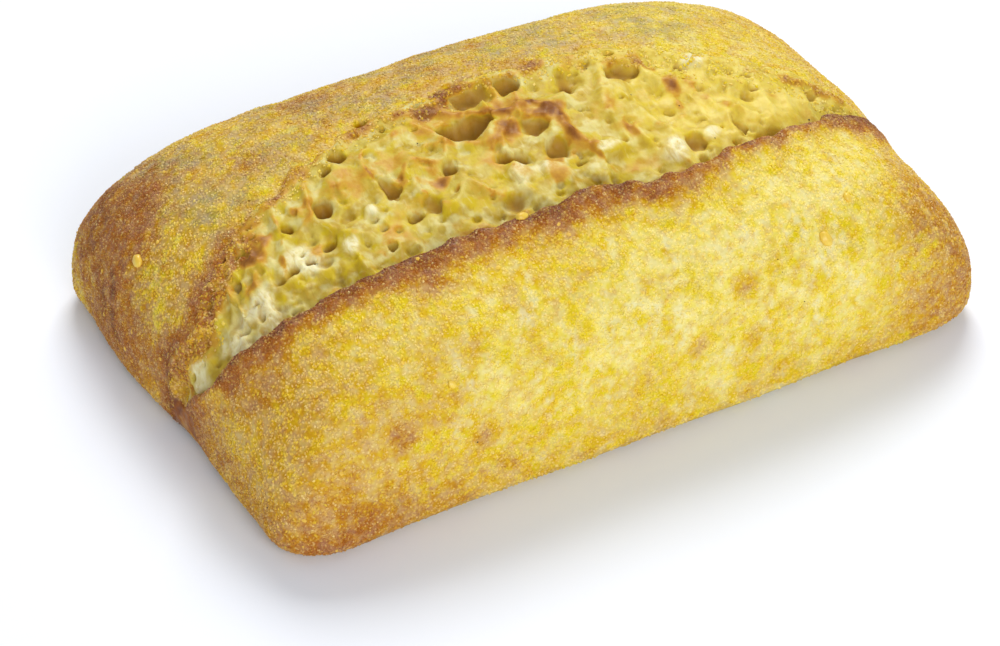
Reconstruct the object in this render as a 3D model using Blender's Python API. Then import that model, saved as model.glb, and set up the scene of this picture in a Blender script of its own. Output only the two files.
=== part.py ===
"""Corn ciabatta roll: one baked piece of dough, a flat-based pillow whose top has torn open along a split.

The top is one grid of points laid over a rounded rectangle. Its stations run along the roll and its columns
run across: up the front flap to the lip, down into the valley, up the torn crumb and over the back crust.
The grid's border is the belly line, and from there rings tuck in to the flat base.

A place on the top is given by two shares: along (-1 at the left end, 1 at the right) and across (-1 at the
front belly line, 1 at the back one).
"""

import math

import bmesh
import bpy
import numpy as np
from mathutils import Vector, noise

# Driving dimensions, in metres.
LENGTH = 0.1412
WIDTH = 0.0876
HEIGHT = 0.0425
BELLY_HEIGHT = 0.0047  # the widest line, just above the base
BASE_INSET = 0.0045  # how far the base's edge lies inside the belly line

# How square the roll is: 2 gives an ellipse, and more is squarer.
PLAN_POWER = 10.0
SIDE_POWER = 2.75  # seen from the front
SECTION_POWER = 3.3  # seen from the end
END_CUT = 1.012  # the plan's curve runs this far past each end, which leaves the end a straight edge

# What makes the ends and the sides differ.
SKEW = -0.002  # metres that the back lies to the left, and the front to the right
LEAN = 0.02  # how far the top leans back, as a share of its height
RIGHT_TAPER = -0.08  # the right end is narrower
RIGHT_RISE = 0.03  # and a little higher

# The split, as (along, across) places that its two edges pass through.
LIP_LINE = (
    (-1.0, -0.10),
    (-0.9992, -0.17),
    (-0.995, -0.24),
    (-0.98, -0.33),
    (-0.93, -0.385),
    (-0.80, -0.44),
    (-0.50, -0.49),
    (-0.12, -0.52),
    (0.0, -0.50),
    (0.16, -0.56),
    (0.36, -0.53),
    (0.60, -0.45),
    (0.76, -0.36),
    (0.90, -0.30),
    (1.0, -0.28),
)
BACK_LINE = (
    (-1.0, -0.085),
    (-0.9992, -0.06),
    (-0.995, -0.04),
    (-0.98, -0.07),
    (-0.95, -0.11),
    (-0.89, -0.03),
    (-0.78, 0.07),
    (-0.60, 0.17),
    (-0.36, 0.31),
    (0.0, 0.33),
    (0.28, 0.30),
    (0.50, 0.14),
    (0.70, 0.03),
    (0.80, -0.07),
    (0.88, -0.19),
    (0.94, -0.26),
    (1.0, -0.27),
)
LIP_RISE = 0.0012
LIP_RISE_WIDTH = 0.22  # across
LIP_WIDTH = 0.028  # across, from the crest to the inner edge
VALLEY_WIDTH = 0.065  # across, from the crest to the bottom of the valley
VALLEY_DEPTH = 0.0034
SLOPE_POWER = 1.3  # how the torn face climbs from the valley to the back crust
END_FADE = 0.35  # how much of the valley is left at the ends
FULL_WIDTH = 0.22  # across, from where on the split has its whole relief
NARROWEST = 0.12  # across, the least that the grid keeps between the two edges

# Where the hand-shaped dough swells or sinks: x, y and z, how far each reaches, and its height.
SWELLINGS = (
    (-0.020, -0.045, 0.005, 0.026, -0.0015),
    (0.012, -0.043, 0.005, 0.020, -0.0006),
    (0.044, -0.041, 0.005, 0.020, -0.0009),
    (-0.061, -0.045, 0.005, 0.010, 0.0010),
    (-0.072, 0.018, 0.006, 0.011, 0.0012),
    (-0.070, -0.008, 0.006, 0.009, -0.0008),
    (-0.072, 0.036, 0.006, 0.008, -0.0006),
    (0.067, -0.015, 0.026, 0.011, -0.0016),
    (0.027, 0.032, 0.037, 0.022, 0.0013),
    (-0.020, 0.036, 0.036, 0.022, -0.0008),
)

# Open pores of the torn face: along, across, then radius along and across and depth, in metres.
PORES = (
    (-0.14, 0.10, 0.0050, 0.0034, 0.0030),
    (-0.07, 0.27, 0.0050, 0.0030, 0.0026),
    (0.01, -0.02, 0.0028, 0.0026, 0.0020),
    (0.03, -0.17, 0.0026, 0.0028, 0.0020),
    (0.16, 0.18, 0.0034, 0.0030, 0.0022),
    (0.31, 0.14, 0.0034, 0.0026, 0.0020),
    (-0.15, -0.36, 0.0030, 0.0024, 0.0018),
    (-0.40, -0.07, 0.0022, 0.0028, 0.0022),
    (-0.57, -0.01, 0.0024, 0.0026, 0.0022),
)

# Unevenness of the hand-shaped body and of the torn face: its height and the length of its waves.
BODY_WAVES = (0.0011, 0.032)
CRUMB_WAVES = (0.0020, 0.0095)

# The grid.
STATIONS = 92
FRONT_CELLS = 9
CRUMB_CELLS = 22
BACK_CELLS = 10
TUCK_RINGS = 3

CRUST_COLOUR = (0.80, 0.58, 0.17, 1.0)
CRUST_ROUGHNESS = 0.72


def clear_scene():
    for found in list(bpy.data.objects):
        bpy.data.objects.remove(found, do_unlink=True)


def dome(share, power):
    """Height of a superellipse of unit size at this share of its half length."""
    return (1 - np.minimum(1.0, np.abs(share)) ** power) ** (1 / power)


def smooth_step(low, high, value):
    t = min(1.0, max(0.0, (value - low) / (high - low)))
    return t * t * (3 - 2 * t)


def waves(point, size, seed):
    """Soft bumps: size is their height and their length."""
    height, length = size
    return height * noise.noise(point / length + Vector((seed, 2.7 * seed, -seed)))


def along_line(line, along):
    """Where an edge of the split lies across the roll: a smooth curve through the line's places."""
    last = len(line) - 1
    start = max(0, min(last - 1, sum(1 for place in line if place[0] <= along) - 1))
    (x0, y0), (x1, y1) = line[start], line[start + 1]
    before, after = line[max(0, start - 1)], line[min(last, start + 2)]
    slope0 = (y1 - before[1]) / (x1 - before[0])
    slope1 = (after[1] - y0) / (after[0] - x0)
    t, span = (along - x0) / (x1 - x0), x1 - x0
    ease = t * t * (3 - 2 * t)
    return y0 + (y1 - y0) * ease + span * t * (1 - t) * (slope0 * (1 - t) - slope1 * t)


def body_point(along, across):
    """A place on the whole body, as it was before the dough tore."""
    half_width = WIDTH / 2 * dome(along / END_CUT, PLAN_POWER) * (1 + RIGHT_TAPER * along)
    rise = HEIGHT * (1 + RIGHT_RISE * along) - BELLY_HEIGHT
    z = BELLY_HEIGHT + rise * dome(along, SIDE_POWER) * dome(across, SECTION_POWER)
    x = LENGTH / 2 * along + SKEW * across
    return Vector((x, half_width * across + LEAN * z, z))


def body_normal(along, across):
    step = 0.004
    along = max(step - 1, min(1 - step, along))
    across = max(step - 1, min(1 - step, across))
    lengthwise = body_point(along + step, across) - body_point(along - step, across)
    crosswise = body_point(along, across + step) - body_point(along, across - step)
    return lengthwise.cross(crosswise).normalized()


def pore_depth(point):
    """How far the open pores sink the torn face at this place on the body."""
    sunk = 0.0
    for along, across, radius_along, radius_across, depth in PORES:
        off = point - body_point(along, across)
        reach = math.hypot(off.x / radius_along, off.y / radius_across)
        sunk = max(sunk, depth * (1 - smooth_step(0.5, 1.15, reach)))
    return sunk


def split_at(along):
    """The split here, across the roll: its lip, the crest's inner edge, the valley and the back edge."""
    lip = along_line(LIP_LINE, along)
    back = max(along_line(BACK_LINE, along), lip + NARROWEST)
    share = min(1.0, (back - lip) / FULL_WIDTH)
    return lip, lip + LIP_WIDTH * share, lip + VALLEY_WIDTH * share, back


def relief(along, across, point):
    """How far the baked surface stands above the whole body, or below it if negative."""
    lip, crest, valley, back = split_at(along)
    height = dome(along, SIDE_POWER)
    if across <= crest:
        return LIP_RISE * height * smooth_step(lip - LIP_RISE_WIDTH, lip, across)
    if across >= back:
        return 0.0
    opened = smooth_step(0, FULL_WIDTH, along_line(BACK_LINE, along) - lip)
    fade = opened * (END_FADE + (1 - END_FADE) * height)
    share = max(0.0, (across - valley) / (back - valley))
    edge = smooth_step(0, 0.25, min(share, 1 - share))
    lumps = waves(point, CRUMB_WAVES, 5.0) * edge - pore_depth(point) * smooth_step(0, 0.12, 1 - share)
    return fade * (lumps - VALLEY_DEPTH * (1 - share) ** SLOPE_POWER)


def uneven(point):
    """How far the hand-shaped body stands out from its plain form."""
    height = waves(point, BODY_WAVES, 1.0)
    for x, y, z, reach, rise in SWELLINGS:
        gap = (point - Vector((x, y, z))).length
        height += rise * math.exp(-((gap / reach) ** 2))
    return height


def top_point(along, across):
    point = body_point(along, across)
    lift = relief(along, across, point) + uneven(point)
    return point + body_normal(along, across) * lift


def evenly(power, reach, end, count):
    """Shares from -1 to end, set so that their steps over the dome are equally long."""
    fine = -1 + (1 + end) * np.linspace(0, 1, 400) ** 3
    steps = np.hypot(np.diff(fine * reach), np.diff(HEIGHT * dome(fine, power)))
    travelled = np.concatenate(([0], np.cumsum(steps)))
    return list(np.interp(np.linspace(0, travelled[-1], count + 1), travelled, fine))


def station_shares():
    left = evenly(SIDE_POWER, LENGTH / 2, 0, STATIONS // 2)
    return left + [-share for share in reversed(left[:-1])]


def column_shares(along):
    """Places across the roll at this station: front flap, lip, valley, torn face and back crust."""
    lip, crest, valley, back = split_at(along)
    front = evenly(SECTION_POWER, WIDTH / 2, lip, FRONT_CELLS)
    crumb = list(np.linspace(valley, back, CRUMB_CELLS + 1))
    crust = [-share for share in evenly(SECTION_POWER, WIDTH / 2, -back, BACK_CELLS)]
    return front + [crest] + crumb + list(reversed(crust[:-1]))


def border(rows):
    """The grid's outer loop of points, in order."""
    loop = rows[0] + [row[-1] for row in rows[1:-1]] + list(reversed(rows[-1]))
    return loop + [row[0] for row in reversed(rows[1:-1])]


def tucked(point, share):
    """A point of the belly line moved under the roll, by this share of the quarter turn to the base."""
    turn = math.pi / 2 * share
    inset = BASE_INSET * (1 - math.cos(turn))
    x = point.x * (1 - 2 * inset / LENGTH)
    y = point.y * (1 - 2 * inset / WIDTH)
    return Vector((x, y, point.z * (1 - math.sin(turn))))


def add_top(form):
    """Builds the top's grid of faces and returns its rows of vertices."""
    rows = []
    for along in station_shares():
        rows.append([form.verts.new(top_point(along, across)) for across in column_shares(along)])
    for near, far in zip(rows, rows[1:]):
        for column in range(len(near) - 1):
            form.faces.new((near[column], far[column], far[column + 1], near[column + 1]))
    return rows


def add_underside(form, belly):
    """Closes the body below the belly line: rounded in, then flat."""
    upper = belly
    for step in range(1, TUCK_RINGS + 1):
        lower = [form.verts.new(tucked(vertex.co, step / TUCK_RINGS)) for vertex in belly]
        for index, vertex in enumerate(upper):
            after = (index + 1) % len(upper)
            form.faces.new((vertex, upper[after], lower[after], lower[index]))
        upper = lower
    form.faces.new(upper)


def centre_on_origin(form):
    """Moves the roll level, so that the middle of its base box is the origin."""
    xs = [vertex.co.x for vertex in form.verts]
    ys = [vertex.co.y for vertex in form.verts]
    middle = Vector(((min(xs) + max(xs)) / 2, (min(ys) + max(ys)) / 2, 0))
    bmesh.ops.translate(form, verts=form.verts, vec=-middle)


def crust_material():
    material = bpy.data.materials.new("baked_corn_crust")
    material.use_nodes = True
    shader = material.node_tree.nodes["Principled BSDF"]
    shader.inputs["Base Color"].default_value = CRUST_COLOUR
    shader.inputs["Roughness"].default_value = CRUST_ROUGHNESS
    shader.inputs["Metallic"].default_value = 0.0
    return material


def main():
    clear_scene()
    form = bmesh.new()
    add_underside(form, border(add_top(form)))
    bmesh.ops.recalc_face_normals(form, faces=form.faces)
    centre_on_origin(form)
    mesh = bpy.data.meshes.new("ciabatta_roll")
    form.to_mesh(mesh)
    form.free()
    mesh.materials.append(crust_material())
    mesh.shade_smooth()
    roll = bpy.data.objects.new("ciabatta_roll", mesh)
    bpy.context.scene.collection.objects.link(roll)


main()
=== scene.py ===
"""The looks of a corn ciabatta roll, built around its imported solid: the crust with its lip, the torn crumb,
the cornmeal baked onto it, and the plain pale floor, camera and soft light that show it.
"""

import math

import bmesh
import bpy
import numpy as np
from mathutils import Matrix, Vector, noise


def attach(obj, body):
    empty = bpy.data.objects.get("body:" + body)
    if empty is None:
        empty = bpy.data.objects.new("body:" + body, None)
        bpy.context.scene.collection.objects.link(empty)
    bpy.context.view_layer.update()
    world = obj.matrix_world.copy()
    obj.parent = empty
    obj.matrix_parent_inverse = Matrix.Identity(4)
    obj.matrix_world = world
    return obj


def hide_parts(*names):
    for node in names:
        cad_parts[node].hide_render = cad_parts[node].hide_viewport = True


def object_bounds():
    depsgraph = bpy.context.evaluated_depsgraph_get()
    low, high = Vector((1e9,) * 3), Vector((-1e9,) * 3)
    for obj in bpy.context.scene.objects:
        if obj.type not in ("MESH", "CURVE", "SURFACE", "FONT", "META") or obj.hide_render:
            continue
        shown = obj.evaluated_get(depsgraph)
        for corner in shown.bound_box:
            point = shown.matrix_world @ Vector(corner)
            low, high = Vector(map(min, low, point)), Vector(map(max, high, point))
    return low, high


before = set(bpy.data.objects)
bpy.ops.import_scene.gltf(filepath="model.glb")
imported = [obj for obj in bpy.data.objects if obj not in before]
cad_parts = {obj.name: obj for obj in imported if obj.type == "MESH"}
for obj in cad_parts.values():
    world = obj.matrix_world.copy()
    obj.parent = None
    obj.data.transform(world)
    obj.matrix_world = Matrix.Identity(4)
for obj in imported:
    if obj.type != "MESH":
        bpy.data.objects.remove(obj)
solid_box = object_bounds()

# ---------- the dough's form
# A flat-based pillow of wet wheat and maize dough. Every piece below is laid out on its surface by two
# shares: along, from -1 at the left end to 1 at the right, and across, from -1 at the front to 1 at the
# back. Sizes are in metres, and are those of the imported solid.
LENGTH = 0.1412
WIDTH = 0.0876
HEIGHT = 0.0425
BELLY_HEIGHT = 0.0047
BASE_INSET = 0.0045
PLAN_POWER = 10.0
SIDE_POWER = 2.75
SECTION_POWER = 3.3
END_CUT = 1.012
SKEW = -0.002
LEAN = 0.02
RIGHT_TAPER = -0.08
RIGHT_RISE = 0.03
# Crumb cells are drawn out across the roll, and threads and streaks more.
PULLED = np.array([1.0, 0.62, 0.75])
DRAWN = np.array([1.0, 0.22, 0.22])


def dome(share, power):
    """Height of a superellipse of unit size at this share of its half length."""
    return (1 - np.minimum(1.0, np.abs(share)) ** power) ** (1 / power)


def half_width(along):
    return WIDTH / 2 * dome(along / END_CUT, PLAN_POWER) * (1 + RIGHT_TAPER * along)


def dough_point(along, across):
    """Places on the dough as it was before it tore, for arrays of shares."""
    along, across = np.broadcast_arrays(along, across)
    rise = HEIGHT * (1 + RIGHT_RISE * along) - BELLY_HEIGHT
    z = BELLY_HEIGHT + rise * dome(along, SIDE_POWER) * dome(across, SECTION_POWER)
    x = LENGTH / 2 * along + SKEW * across
    return np.stack([x, half_width(along) * across + LEAN * z, z], axis=-1)


def dough_normal(along, across):
    step = 0.004
    along, across = np.clip(along, step - 1, 1 - step), np.clip(across, step - 1, 1 - step)
    lengthwise = dough_point(along + step, across) - dough_point(along - step, across)
    crosswise = dough_point(along, across + step) - dough_point(along, across - step)
    normal = np.cross(lengthwise, crosswise)
    return normal / np.linalg.norm(normal, axis=-1, keepdims=True)


def shares_of(points):
    """The shares, along and across, of points in the uncentred dough."""
    along = points[:, 0] * 2 / LENGTH
    for repeat in range(4):
        width = np.maximum(half_width(np.clip(along, -1, 1)), 0.002)
        across = (points[:, 1] - LEAN * points[:, 2]) / width
        along = (points[:, 0] - SKEW * across) * 2 / LENGTH
    return np.clip(along, -1, 1), np.clip(across, -1, 1)


def ramp(low, high, value):
    t = np.clip((value - low) / (high - low), 0.0, 1.0)
    return t * t * (3 - 2 * t)


def gap_to(points, place):
    """Metres from each of the points to a place."""
    return np.linalg.norm(points - np.array(place), axis=-1)


def lumps(points, length, seed):
    """Soft noise from about -1 to 1 whose bumps are this long, at each of the points."""
    flat = (points.reshape(-1, 3) / length + np.array([seed, 2.7 * seed, -seed])).tolist()
    return np.array([noise.noise(place) for place in flat]).reshape(points.shape[:-1])


# The split opened along the roll as the dough sprang in the oven: (along, across) places that the front
# flap's lip and the back crust's edge pass through.
LIP_LINE = (
    (-1.0, -0.1), (-0.9992, -0.17), (-0.995, -0.24), (-0.98, -0.33), (-0.93, -0.385),
    (-0.8, -0.44), (-0.5, -0.49), (-0.12, -0.52), (0.0, -0.5), (0.16, -0.56),
    (0.36, -0.53), (0.6, -0.45), (0.76, -0.36), (0.9, -0.3), (1.0, -0.28),
)
BACK_LINE = (
    (-1.0, -0.085), (-0.9992, -0.06), (-0.995, -0.04), (-0.98, -0.07), (-0.95, -0.11),
    (-0.89, -0.03), (-0.78, 0.07), (-0.6, 0.17), (-0.36, 0.31), (0.0, 0.33),
    (0.28, 0.3), (0.5, 0.14), (0.7, 0.03), (0.8, -0.07), (0.88, -0.19),
    (0.94, -0.26), (1.0, -0.27),
)
LIP_RISE = 0.0012
LIP_RISE_WIDTH = 0.22
LIP_WIDTH = 0.028
VALLEY_WIDTH = 0.065
VALLEY_DEPTH = 0.0034
SLOPE_POWER = 1.3
END_FADE = 0.35
BODY_WAVES = (0.0011, 0.032)
# Where the hand-shaped dough swells or sinks: x, y and z, how far each reaches, and its height.
SWELLINGS = (
    (-0.02, -0.045, 0.005, 0.026, -0.0015), (0.012, -0.043, 0.005, 0.02, -0.0006),
    (0.044, -0.041, 0.005, 0.02, -0.0009), (-0.061, -0.045, 0.005, 0.01, 0.001),
    (-0.072, 0.018, 0.006, 0.011, 0.0012), (-0.07, -0.008, 0.006, 0.009, -0.0008),
    (-0.072, 0.036, 0.006, 0.008, -0.0006), (0.067, -0.015, 0.026, 0.011, -0.0016),
    (0.027, 0.032, 0.037, 0.022, 0.0013), (-0.02, 0.036, 0.036, 0.022, -0.0008),
)


def uneven(points):
    """How far the hand-shaped dough stands out from its plain form, in metres."""
    height = BODY_WAVES[0] * lumps(points, BODY_WAVES[1], 1.0)
    for *place, reach, rise in SWELLINGS:
        height += rise * np.exp(-((gap_to(points, place) / reach) ** 2))
    return height


def along_line(line, along):
    """Where an edge of the split lies across the roll: a smooth curve through the line's places."""
    places, values = np.array(line).T
    last = len(line) - 1
    start = np.clip(np.searchsorted(places, along, side="right") - 1, 0, last - 1)
    before, after = np.maximum(start - 1, 0), np.minimum(start + 2, last)
    span = places[start + 1] - places[start]
    slope0 = (values[start + 1] - values[before]) / (places[start + 1] - places[before])
    slope1 = (values[after] - values[start]) / (places[after] - places[start])
    t = (along - places[start]) / span
    ease = t * t * (3 - 2 * t)
    bend = span * t * (1 - t) * (slope0 * (1 - t) - slope1 * t)
    return values[start] + (values[start + 1] - values[start]) * ease + bend


def openness(along, wide):
    """How far the split has opened here: 1 where its edges lie this far apart, and 0 where they meet."""
    return ramp(0.012, wide, along_line(BACK_LINE, along) - along_line(LIP_LINE, along))


def fade_to_ends(along):
    """How much of the split's relief is left here: it runs out at both ends."""
    return openness(along, 0.22) * (END_FADE + (1 - END_FADE) * dome(along, SIDE_POWER))


def climb(along, across, lip, back):
    """How far up the torn face this lies, from 0 in the valley behind the lip to 1 at the back crust."""
    valley = lip + VALLEY_WIDTH * openness(along, 0.22)
    return np.clip((across - valley) / np.maximum(0.01, back - valley), 0, 1)


# Open pores: along, across, then radius along, across and into the crumb, in metres.
PORES = (
    (-0.13, 0.1, 0.0048, 0.003, 0.0034), (-0.17, 0.11, 0.0026, 0.0026, 0.0042),
    (-0.07, 0.27, 0.005, 0.0028, 0.003), (0.03, 0.27, 0.0022, 0.0024, 0.0028),
    (0.16, 0.18, 0.0032, 0.003, 0.0024), (0.16, 0.17, 0.0011, 0.0011, 0.0046),
    (0.31, 0.14, 0.0032, 0.0024, 0.0024), (0.01, -0.02, 0.0027, 0.0024, 0.0024),
    (0.03, -0.17, 0.0024, 0.0026, 0.0026), (-0.11, -0.13, 0.0015, 0.0014, 0.003),
    (-0.07, -0.16, 0.0019, 0.0013, 0.0028), (-0.24, -0.09, 0.001, 0.0014, 0.0026),
    (0.06, -0.27, 0.0008, 0.0009, 0.002), (0.26, 0.32, 0.0012, 0.0006, 0.0016),
    (0.32, 0.27, 0.0015, 0.0007, 0.0018), (-0.4, -0.07, 0.0015, 0.0026, 0.0026),
    (-0.34, -0.22, 0.0019, 0.0019, 0.002), (-0.39, -0.24, 0.0015, 0.001, 0.0024),
    (-0.15, -0.36, 0.0028, 0.0022, 0.002), (-0.46, 0.18, 0.0015, 0.0015, 0.0034),
    (-0.35, 0.33, 0.0011, 0.0008, 0.0018), (-0.51, 0.14, 0.001, 0.0008, 0.0018),
    (-0.57, -0.01, 0.0018, 0.0022, 0.0032), (-0.67, -0.02, 0.0011, 0.001, 0.0026),
    (-0.62, -0.19, 0.0015, 0.0009, 0.0024), (-0.68, -0.22, 0.0009, 0.0008, 0.0024),
    (-0.72, -0.22, 0.0013, 0.0008, 0.0024), (-0.48, -0.24, 0.001, 0.0006, 0.0016),
    (-0.84, -0.3, 0.0008, 0.001, 0.0018), (0.35, -0.37, 0.0017, 0.0022, 0.0022),
    (0.5, -0.32, 0.0016, 0.0013, 0.0024), (0.46, 0.08, 0.0018, 0.0009, 0.0016),
    (0.61, -0.03, 0.0009, 0.0006, 0.0016), (0.61, -0.12, 0.0014, 0.0007, 0.0016),
    (0.77, -0.13, 0.0018, 0.001, 0.0016), (0.56, -0.38, 0.0026, 0.001, 0.0014),
)

# ---------- the crust
# The outer skin, dusted with maize meal and baked hard: the front flap up to its lip, the back crust, both
# ends and the base. It is one closed skin, and under the torn crumb it dips out of sight.
CRUST_CELL = 0.00068  # the grid of the finished skin
CRUMB_BED = 0.0062  # how far the skin dips below the crumb
BACK_TUCK = 0.0022  # how wide the back crust's edge is where it goes down under the crumb
LIP_BEAD = 0.0005  # the lip's rounded rim
LIP_BEAD_WIDTH = 0.0014


FINE_SHARES = -1 + np.linspace(0, 1, 1500) ** 3  # from -1 to 0, closest together at the steep end


def mirrored(shares):
    return np.concatenate([shares, -shares[-2::-1]])


def evened(shares, steps, count):
    """This many of the shares, equally far apart, where neighbours lie these steps in metres apart."""
    travelled = np.concatenate(([0], np.cumsum(steps)))
    return np.interp(np.linspace(0, travelled[-1], count), travelled, shares)


def over_dome(power, reach, count):
    """Shares from -1 to 1, equally far apart over a dome of this power and reach."""
    rise = np.diff(HEIGHT * dome(FINE_SHARES, power))
    return mirrored(evened(FINE_SHARES, np.hypot(np.diff(FINE_SHARES * reach), rise), count))


def ragged(along, across, seed, reach):
    """Metres that a torn edge wanders to the side here, mostly in short bites."""
    places = dough_point(along, across)
    return reach * (lumps(places, 0.0065, seed) + 0.7 * lumps(places, 0.0024, seed + 3))


def crust_edges(along):
    """Where the lip and the back crust's torn edge lie across the dough, as they wander."""
    at_lip, at_back = along_line(LIP_LINE, along), along_line(BACK_LINE, along)
    lip = at_lip + openness(along, 0.15) * ragged(along, at_lip, 4.0, 0.001) / half_width(along)
    bites = 0.002 * openness(along, 0.3) * (0.35 + 0.65 * ramp(-0.85, -0.65, along))
    back = at_back + ragged(along, at_back, 9.0, bites) / half_width(along)
    return lip, back


def crust_sunk(along, across):
    """How much of the crust's dip under the crumb is reached here: 0 on the open crust, 1 on the bed."""
    lip, back = crust_edges(along)
    tuck = BACK_TUCK / half_width(along)
    inner_side = ramp(lip, lip + LIP_WIDTH * 1.3, across)
    outer_side = ramp(back - tuck, back + 0.2 * tuck, across)
    return np.minimum(inner_side, 1 - outer_side)


def under_pores(along, across):
    """How far the bed is kept clear of the open pores here, in metres."""
    places = dough_point(along, across)
    clear = np.zeros(along.shape)
    for pore_along, pore_across, radius_along, radius_across, depth in PORES:
        off = places - dough_point(pore_along, pore_across)
        reach = np.hypot(off[..., 0] / radius_along, off[..., 1] / radius_across)
        clear = np.maximum(clear, 1.9 * depth * ramp(1.7, 1.0, reach))
    return clear


def crust_relief(along, across):
    """How far the crust stands above the whole dough, or below it if negative."""
    lip, back = crust_edges(along)
    fade = fade_to_ends(along)
    crest = LIP_RISE * dome(along, SIDE_POWER) * ramp(lip - LIP_RISE_WIDTH, lip, across)
    from_crest = (lip - across) * half_width(along) - LIP_BEAD_WIDTH
    crest += LIP_BEAD * fade * np.exp(-((from_crest / LIP_BEAD_WIDTH) ** 2))
    bed = -fade * VALLEY_DEPTH * (1 - climb(along, across, lip, back)) ** SLOPE_POWER
    bed -= CRUMB_BED * (0.3 + 0.7 * fade) * openness(along, 0.06)
    inner_side = ramp(lip, lip + LIP_WIDTH * 1.3, across)
    dip = np.minimum(bed * crust_sunk(along, across), -under_pores(along, across) * inner_side)
    return crest * (1 - inner_side) + dip


def crust_form():
    """The skin as a fine grid over the dough, closed by rings tucked under it and a flat base."""
    stations = over_dome(SIDE_POWER, LENGTH / 2, 191)
    columns = over_dome(SECTION_POWER, WIDTH / 2, 151)
    along, across = np.meshgrid(stations, columns, indexing="ij")
    points = dough_point(along, across)
    lift = crust_relief(along, across) + uneven(points)
    points = points + dough_normal(along, across) * lift[..., None]
    form = bmesh.new()
    rows = [[form.verts.new(point) for point in row] for row in points]
    for near, far in zip(rows, rows[1:]):
        for column in range(len(near) - 1):
            form.faces.new((near[column], far[column], far[column + 1], near[column + 1]))
    belly = rows[0] + [row[-1] for row in rows[1:-1]] + rows[-1][::-1] + [row[0] for row in rows[-2:0:-1]]
    upper = belly
    for turn in np.linspace(0, math.pi / 2, 13)[1:]:
        inset = BASE_INSET * (1 - math.cos(turn))
        shrink = Vector((1 - 2 * inset / LENGTH, 1 - 2 * inset / WIDTH, 1 - math.sin(turn)))
        lower = [form.verts.new(vertex.co * shrink) for vertex in belly]
        for index, vertex in enumerate(upper):
            after = (index + 1) % len(upper)
            form.faces.new((vertex, upper[after], lower[after], lower[index]))
        upper = lower
    form.faces.new(upper)
    bmesh.ops.recalc_face_normals(form, faces=form.faces)
    mesh = bpy.data.meshes.new("crust form")
    form.to_mesh(mesh)
    form.free()
    return mesh


def gathered(items, what, kind=float, width=1):
    """What the vertices, faces or corners of a mesh hold, in rows where it is several numbers each."""
    flat = np.empty(len(items) * width, dtype=kind)
    items.foreach_get(what, flat)
    return flat.reshape(-1, width) if width > 1 else flat


def plain_copy(source):
    """A plain mesh of the object as its modifiers make it."""
    evaluated = source.evaluated_get(bpy.context.evaluated_depsgraph_get())
    return bpy.data.meshes.new_from_object(evaluated)


def new_piece(name, data):
    piece = bpy.data.objects.new(name, data)
    bpy.context.scene.collection.objects.link(piece)
    return piece


draft = new_piece("crust_draft", crust_form())
remesh = draft.modifiers.new("even cells", "REMESH")
remesh.mode = "VOXEL"
remesh.voxel_size = CRUST_CELL
soften = draft.modifiers.new("soften", "SMOOTH")
soften.factor = 0.5
soften.iterations = 2
crust_mesh = plain_copy(draft)
bpy.data.objects.remove(draft)
crust_points = gathered(crust_mesh.vertices, "co", width=3)

# The dough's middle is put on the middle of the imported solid.
low, high = (np.array(corner) for corner in solid_box)
CENTRE = (low + high) / 2 - (crust_points.min(axis=0) + crust_points.max(axis=0)) / 2
CENTRE[2] = 0.0


def store(mesh, layers):
    """Keeps numbers on the mesh, one a vertex under each name, for its material and the grains to read."""
    for name, values in layers.items():
        mesh.attributes.new(name, "FLOAT", "POINT").data.foreach_set("value", values.astype(np.float32))


crust_along, crust_across = shares_of(crust_points)
upright = ramp(0.0006, 0.003, crust_points[:, 2])
skin_relief = 0.0003 * lumps(crust_points, 0.0085, 21) + 0.00016 * lumps(crust_points, 0.0032, 22)
skin_relief += 0.00012 * lumps(crust_points, 0.0014, 23)
into_flap = (crust_edges(crust_along)[0] - crust_across) * half_width(crust_along)
rim = ramp(0.005, 0.0005, np.abs(into_flap))
rim_relief = 0.00026 * lumps(crust_points, 0.003, 24) + 0.0002 * lumps(crust_points, 0.0017, 25)
skin_relief += rim * rim_relief
risen = gathered(crust_mesh.vertices, "normal", width=3) * (skin_relief * upright)[:, None]
crust_mesh.vertices.foreach_set("co", (crust_points + risen + CENTRE).ravel())
crust_mesh.update()

# Places that met more heat than their surroundings: x, y, z, how far each reaches, and how much it adds to
# the browning. The three with a negative amount make the upper front flap paler: a painted highlight.
BROWNED = (
    (-0.067, 0.03, 0.023, 0.014, 0.4), (-0.066, 0.042, 0.018, 0.01, 0.1),
    (-0.07, 0.014, 0.01, 0.01, 0.18), (-0.07, 0.026, 0.008, 0.009, 0.14),
    (0.063, -0.038, 0.02, 0.018, 0.26), (-0.066, -0.022, 0.024, 0.008, 0.17),
    (-0.07, -0.014, 0.014, 0.007, 0.12), (-0.056, -0.045, 0.009, 0.02, 0.13),
    (0.004, -0.025, 0.041, 0.008, 0.12), (-0.009, -0.025, 0.0405, 0.006, 0.22),
    (0.015, -0.025, 0.0405, 0.006, 0.16), (0.022, -0.04, 0.027, 0.0036, 0.46),
    (0.0434, -0.0375, 0.028, 0.0034, 0.26), (-0.046, -0.044, 0.021, 0.0027, 0.19),
    (-0.031, -0.045, 0.016, 0.003, 0.22), (-0.026, -0.045, 0.009, 0.003, 0.18),
    (0.012, -0.043, 0.018, 0.0028, 0.34), (0.037, -0.04, 0.022, 0.0032, 0.16),
    (0.023, -0.042, 0.016, 0.003, 0.24), (-0.03, 0.031, 0.038, 0.006, 0.22),
    # The last three places, with a negative amount, pale the upper front flap: a painted highlight.
    (-0.045, 0.019, 0.037, 0.005, 0.16), (0.022, -0.029, 0.038, 0.024, -0.16),
    (0.045, -0.03, 0.034, 0.018, -0.1), (-0.01, -0.038, 0.032, 0.018, -0.1),
)


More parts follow.
